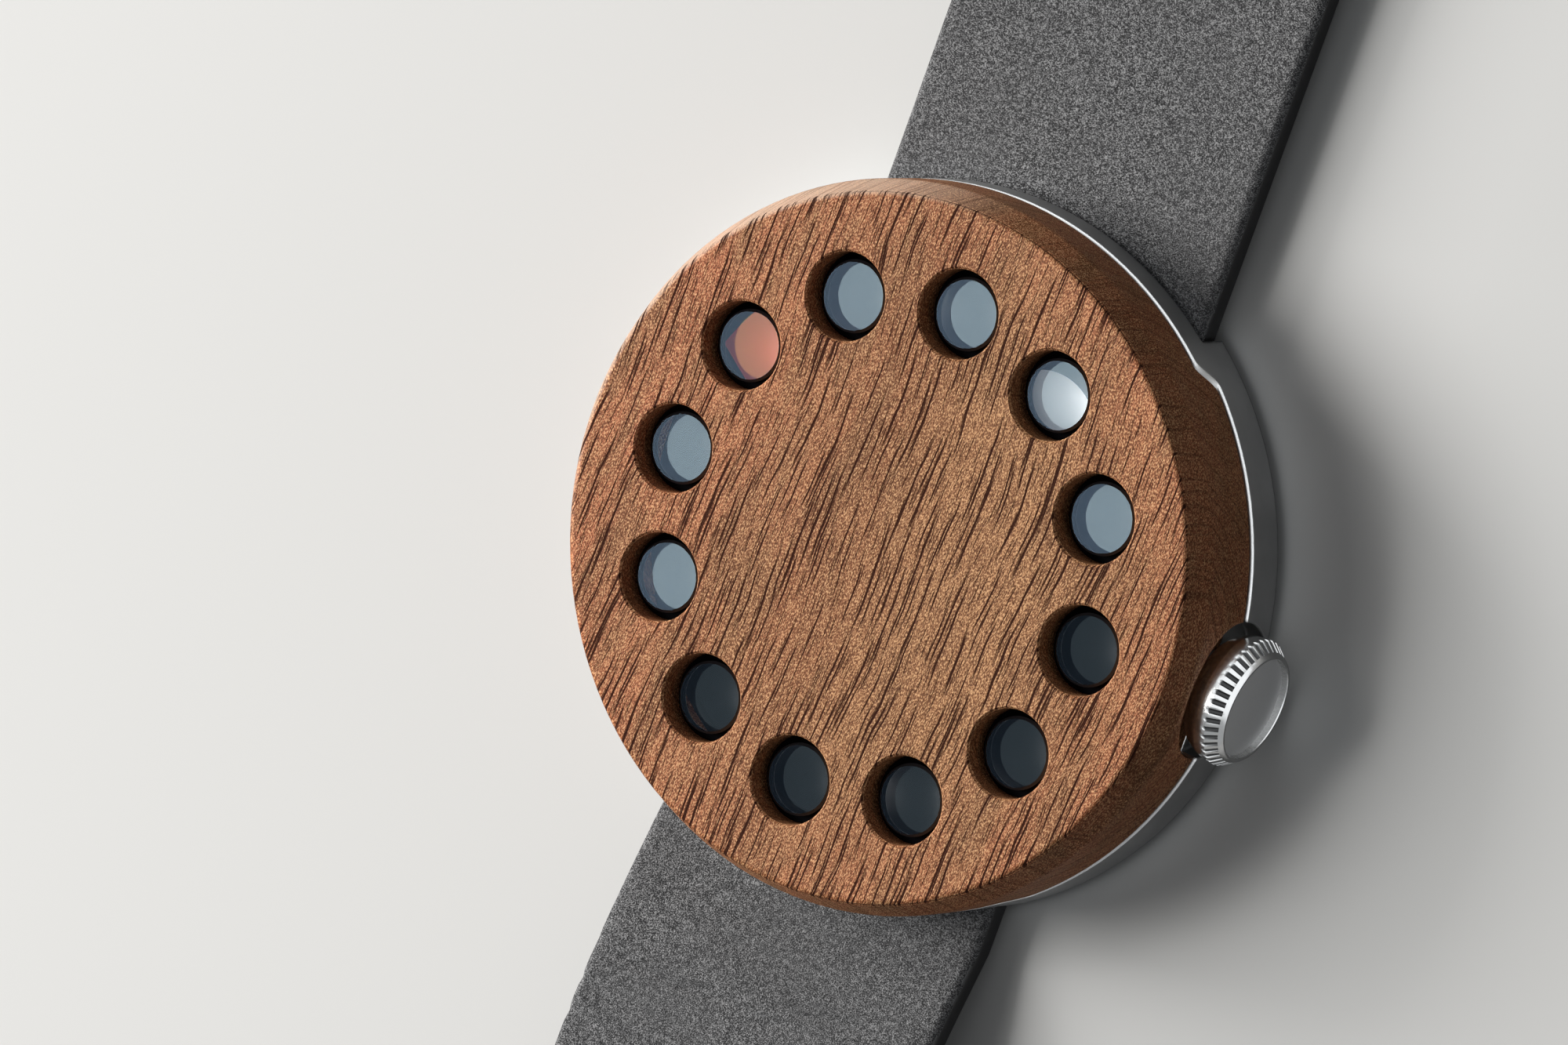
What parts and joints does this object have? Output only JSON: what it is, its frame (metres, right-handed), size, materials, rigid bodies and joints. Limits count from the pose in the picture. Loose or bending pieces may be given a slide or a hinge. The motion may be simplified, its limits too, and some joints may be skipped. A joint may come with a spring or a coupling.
{
  "type": "wooden wristwatch",
  "caption": "Round wristwatch laid open: wooden face block with a ring of lensed hour holes, arched steel case band, fluted crown and leather strap.",
  "frame": {"origin": "centre of the case back's flat outer face", "axes": "+Z out of the watch's face, +Y to 12 o'clock along the strap, +X to 3 o'clock along the crown's axis"},
  "size_m": [0.0429, 0.2301, 0.0097],
  "materials": {
    "walnut": "oiled, open pores",
    "lens_glass": "polished",
    "satin_steel": "brushed",
    "polished_steel": "polished with fluted rim",
    "movement_steel": "plain",
    "blued_steel": "blued",
    "stator_iron": "plain",
    "brass": "plain",
    "nickel_brass": "matt",
    "copper_wire": "enamelled winding",
    "board_green": "matt",
    "black_plastic": "matt",
    "black_rubber": "matt",
    "dial_black": "matt",
    "white_paint": "matt",
    "coral_paint": "matt",
    "grey_leather": "pebbled, matt"
  },
  "bodies": {
    "case": {"wooden_face": "walnut", "lens_01": "lens_glass", "lens_02": "lens_glass", "lens_03": "lens_glass", "lens_04": "lens_glass", "lens_05": "lens_glass", "lens_06": "lens_glass", "lens_07": "lens_glass", "lens_08": "lens_glass", "lens_09": "lens_glass", "lens_10": "lens_glass", "lens_11": "lens_glass", "lens_12": "lens_glass", "steel_case": "satin_steel", "case_back": "satin_steel", "case_gasket": "black_rubber", "case_back_gasket": "black_rubber", "crown_tube": "movement_steel", "dial_plate": "dial_black", "dial_washer": "brass", "movement_ring": "black_plastic", "main_plate": "nickel_brass", "train_bridge": "movement_steel", "bridge_screws": "blued_steel", "stator": "stator_iron", "coil": "copper_wire", "circuit_board": "board_green", "quartz_crystal": "movement_steel", "battery": "movement_steel", "battery_clamp": "brass", "spring_bar_12": "movement_steel", "spring_bar_6": "movement_steel"},
    "minute": {"centre_wheel": "brass", "cannon_pinion": "movement_steel", "minute_hand": "white_paint"},
    "hour": {"hour_wheel": "brass", "hour_hand": "coral_paint"},
    "minute_wheel": {"minute_wheel": "brass"},
    "setting_wheel": {"setting_wheel": "movement_steel"},
    "intermediate_wheel": {"intermediate_wheel": "brass"},
    "rotor": {"rotor": "stator_iron"},
    "stem_pinion": {"sliding_pinion": "movement_steel"},
    "crown_stem": {"stem": "movement_steel", "crown": "polished_steel", "crown_gasket": "black_rubber"},
    "setting_lever": {"setting_lever": "movement_steel"},
    "strap_12": {"strap_buckle_side": "grey_leather", "fixed_keeper": "grey_leather"},
    "strap_6": {"strap_tail_side": "grey_leather"},
    "loose_keeper": {"free_keeper": "grey_leather"},
    "buckle": {"buckle_frame": "satin_steel", "buckle_bar": "movement_steel"},
    "tongue": {"buckle_tongue": "satin_steel"}
  },
  "joints": [
    {"name": "minute_turn", "type": "hinge", "parent": "case", "child": "minute", "pos_m": [0, 0, 0.006], "axis": [0, 0, -1], "continuous": true},
    {"name": "hour_turn", "type": "hinge", "parent": "case", "child": "hour", "pos_m": [0, 0, 0.0056], "axis": [0, 0, -1], "continuous": true},
    {"name": "minute_wheel_turn", "type": "hinge", "parent": "case", "child": "minute_wheel", "pos_m": [0.0015, 0.0026, 0.0045], "axis": [0, 0, -1], "continuous": true},
    {"name": "setting_wheel_turn", "type": "hinge", "parent": "case", "child": "setting_wheel", "pos_m": [0.00345, 0, 0.0045], "axis": [0, 0, -1], "continuous": true},
    {"name": "intermediate_wheel_turn", "type": "hinge", "parent": "case", "child": "intermediate_wheel", "pos_m": [-0.00297, 0.00297, 0.0024], "axis": [0, 0, -1], "continuous": true},
    {"name": "rotor_turn", "type": "hinge", "parent": "case", "child": "rotor", "pos_m": [-0.00533, 0.00255, 0.0024], "axis": [0, 0, -1], "continuous": true},
    {"name": "crown_turn", "type": "hinge", "parent": "case", "child": "stem_pinion", "pos_m": [0.0049, 0, 0.0038], "axis": [1, 0, 0], "continuous": true},
    {"name": "crown_pull", "type": "slide", "parent": "stem_pinion", "child": "crown_stem", "axis": [1, 0, 0], "range_m": [0, 0.0012]},
    {"name": "setting_lever_swing", "type": "hinge", "parent": "case", "child": "setting_lever", "pos_m": [0.00795, 0.0036, 0.0045], "axis": [0, 0, 1], "range_deg": [0, 22]},
    {"name": "strap_12_swing", "type": "hinge", "parent": "case", "child": "strap_12", "pos_m": [0, 0.0146, 0.0015], "axis": [1, 0, 0], "range_deg": [-80, 0]},
    {"name": "strap_6_swing", "type": "hinge", "parent": "case", "child": "strap_6", "pos_m": [0, -0.0146, 0.0015], "axis": [-1, 0, 0], "range_deg": [-80, 0]},
    {"name": "keeper_slide", "type": "slide", "parent": "strap_12", "child": "loose_keeper", "axis": [0, 1, 0], "range_m": [-0.015, 0.0035]},
    {"name": "buckle_swing", "type": "hinge", "parent": "strap_12", "child": "buckle", "pos_m": [0, 0.0896, 0.002], "axis": [1, 0, 0], "range_deg": [-80, 60]},
    {"name": "tongue_swing", "type": "hinge", "parent": "buckle", "child": "tongue", "pos_m": [0, 0.0896, 0.002], "axis": [1, 0, 0], "range_deg": [0, 50]}
  ],
  "couplings": [
    {"joint": "hour_turn", "follows": "minute_turn", "ratio": 0.083333},
    {"joint": "minute_wheel_turn", "follows": "minute_turn", "ratio": -0.33333},
    {"joint": "setting_wheel_turn", "follows": "minute_turn", "ratio": 0.75},
    {"joint": "intermediate_wheel_turn", "follows": "minute_turn", "ratio": -6},
    {"joint": "rotor_turn", "follows": "minute_turn", "ratio": 30},
    {"joint": "setting_lever_swing", "follows": "crown_pull", "rad_per_m": 316.36}
  ]
}
